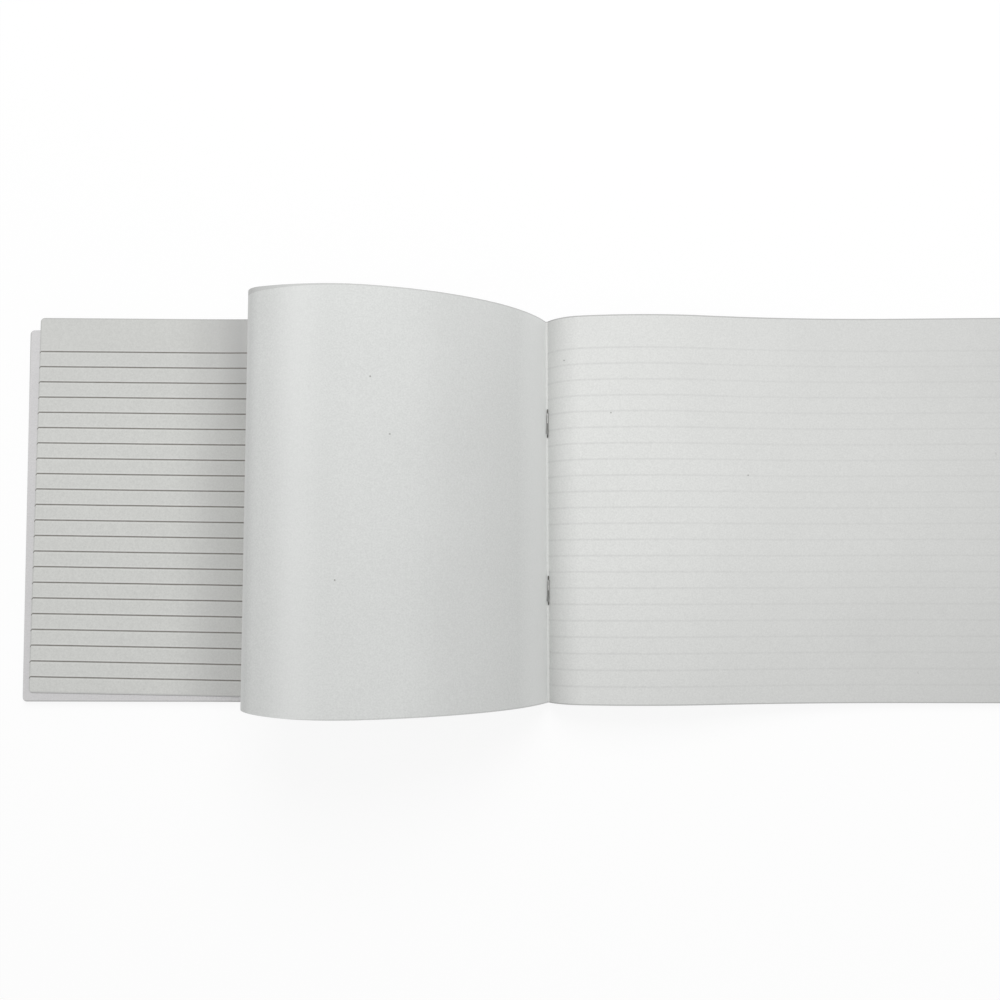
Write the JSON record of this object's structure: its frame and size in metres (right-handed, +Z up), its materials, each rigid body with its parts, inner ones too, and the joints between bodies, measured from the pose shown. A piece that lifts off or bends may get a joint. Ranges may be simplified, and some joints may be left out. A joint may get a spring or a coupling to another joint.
{
  "type": "open composition notebook",
  "caption": "Stapled notebook lying open at its middle sheet, with the left leaf curled over in an arch and covers that fold back at the spine.",
  "frame": {"origin": "centre of the bounding box, on the surface that the covers lie on; the spine's fold is at x = 0", "axes": "+Z up out of the open pages, +X from the spine to the right-hand page, +Y along the spine to the head of the pages"},
  "size_m": [0.496, 0.1822, 0.0715],
  "materials": {
    "paper": "matt, finely mottled",
    "cover_card": "matt",
    "staple_wire": "dull wire"
  },
  "bodies": {
    "pages": {"pages": "paper", "upper_staple": "staple_wire", "lower_staple": "staple_wire"},
    "front_cover": {"front_cover": "cover_card"},
    "back_cover": {"back_cover": "cover_card"}
  },
  "joints": [
    {"name": "front_cover_hinge", "type": "hinge", "parent": "pages", "child": "front_cover", "pos_m": [0, -0.00211, 0.00025], "axis": [0, -1, 0], "range_deg": [0, 175]},
    {"name": "back_cover_hinge", "type": "hinge", "parent": "pages", "child": "back_cover", "pos_m": [0, -0.00211, 0.00025], "axis": [0, 1, 0], "range_deg": [0, 175]}
  ]
}
